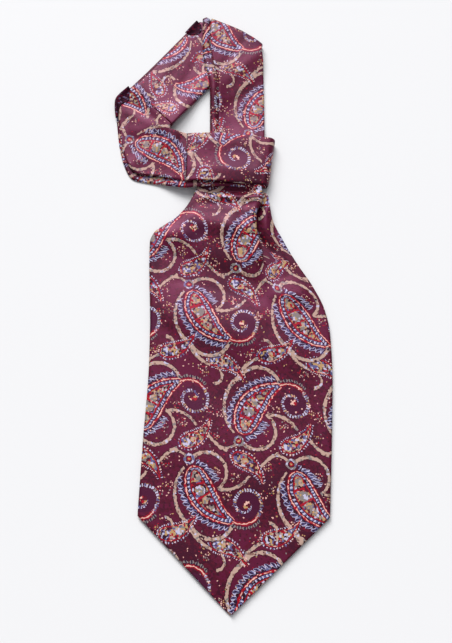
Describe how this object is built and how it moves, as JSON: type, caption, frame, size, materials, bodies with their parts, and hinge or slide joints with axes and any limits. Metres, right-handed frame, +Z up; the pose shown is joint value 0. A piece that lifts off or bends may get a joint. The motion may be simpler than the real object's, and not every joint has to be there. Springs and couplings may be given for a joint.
{
  "type": "silk ascot cravat",
  "caption": "Silk cravat laid half tied: pointed blades hang from a pleated neckband that folds over, turns and wraps across the neck of the front blade.",
  "frame": {"origin": "on the table surface, under the middle of the laid cravat's box", "axes": "+Y from the front blade's tip to the top fold of the neckband, +Z up from the table, +X to the viewer's right when seen from above with the tip down"},
  "size_m": [0.185, 0.5236, 0.0098],
  "materials": {
    "front_silk": "wine-red silk satin with a woven paisley",
    "rear_silk": "wine-red silk satin",
    "rise_silk": "wine-red silk satin with a woven paisley",
    "diagonal_silk": "wine-red silk satin with a woven paisley",
    "turn_silk": "wine-red silk satin with a woven paisley",
    "wrap_silk": "wine-red silk satin with a woven paisley",
    "knot_silk": "wine-red silk satin"
  },
  "bodies": {
    "root": {"front_blade": "front_silk", "rear_blade": "rear_silk", "neckband_rise": "rise_silk", "neckband_diagonal": "diagonal_silk", "neckband_turn": "turn_silk", "neckband_wrap": "wrap_silk", "knot_back": "knot_silk"}
  },
  "joints": []
}
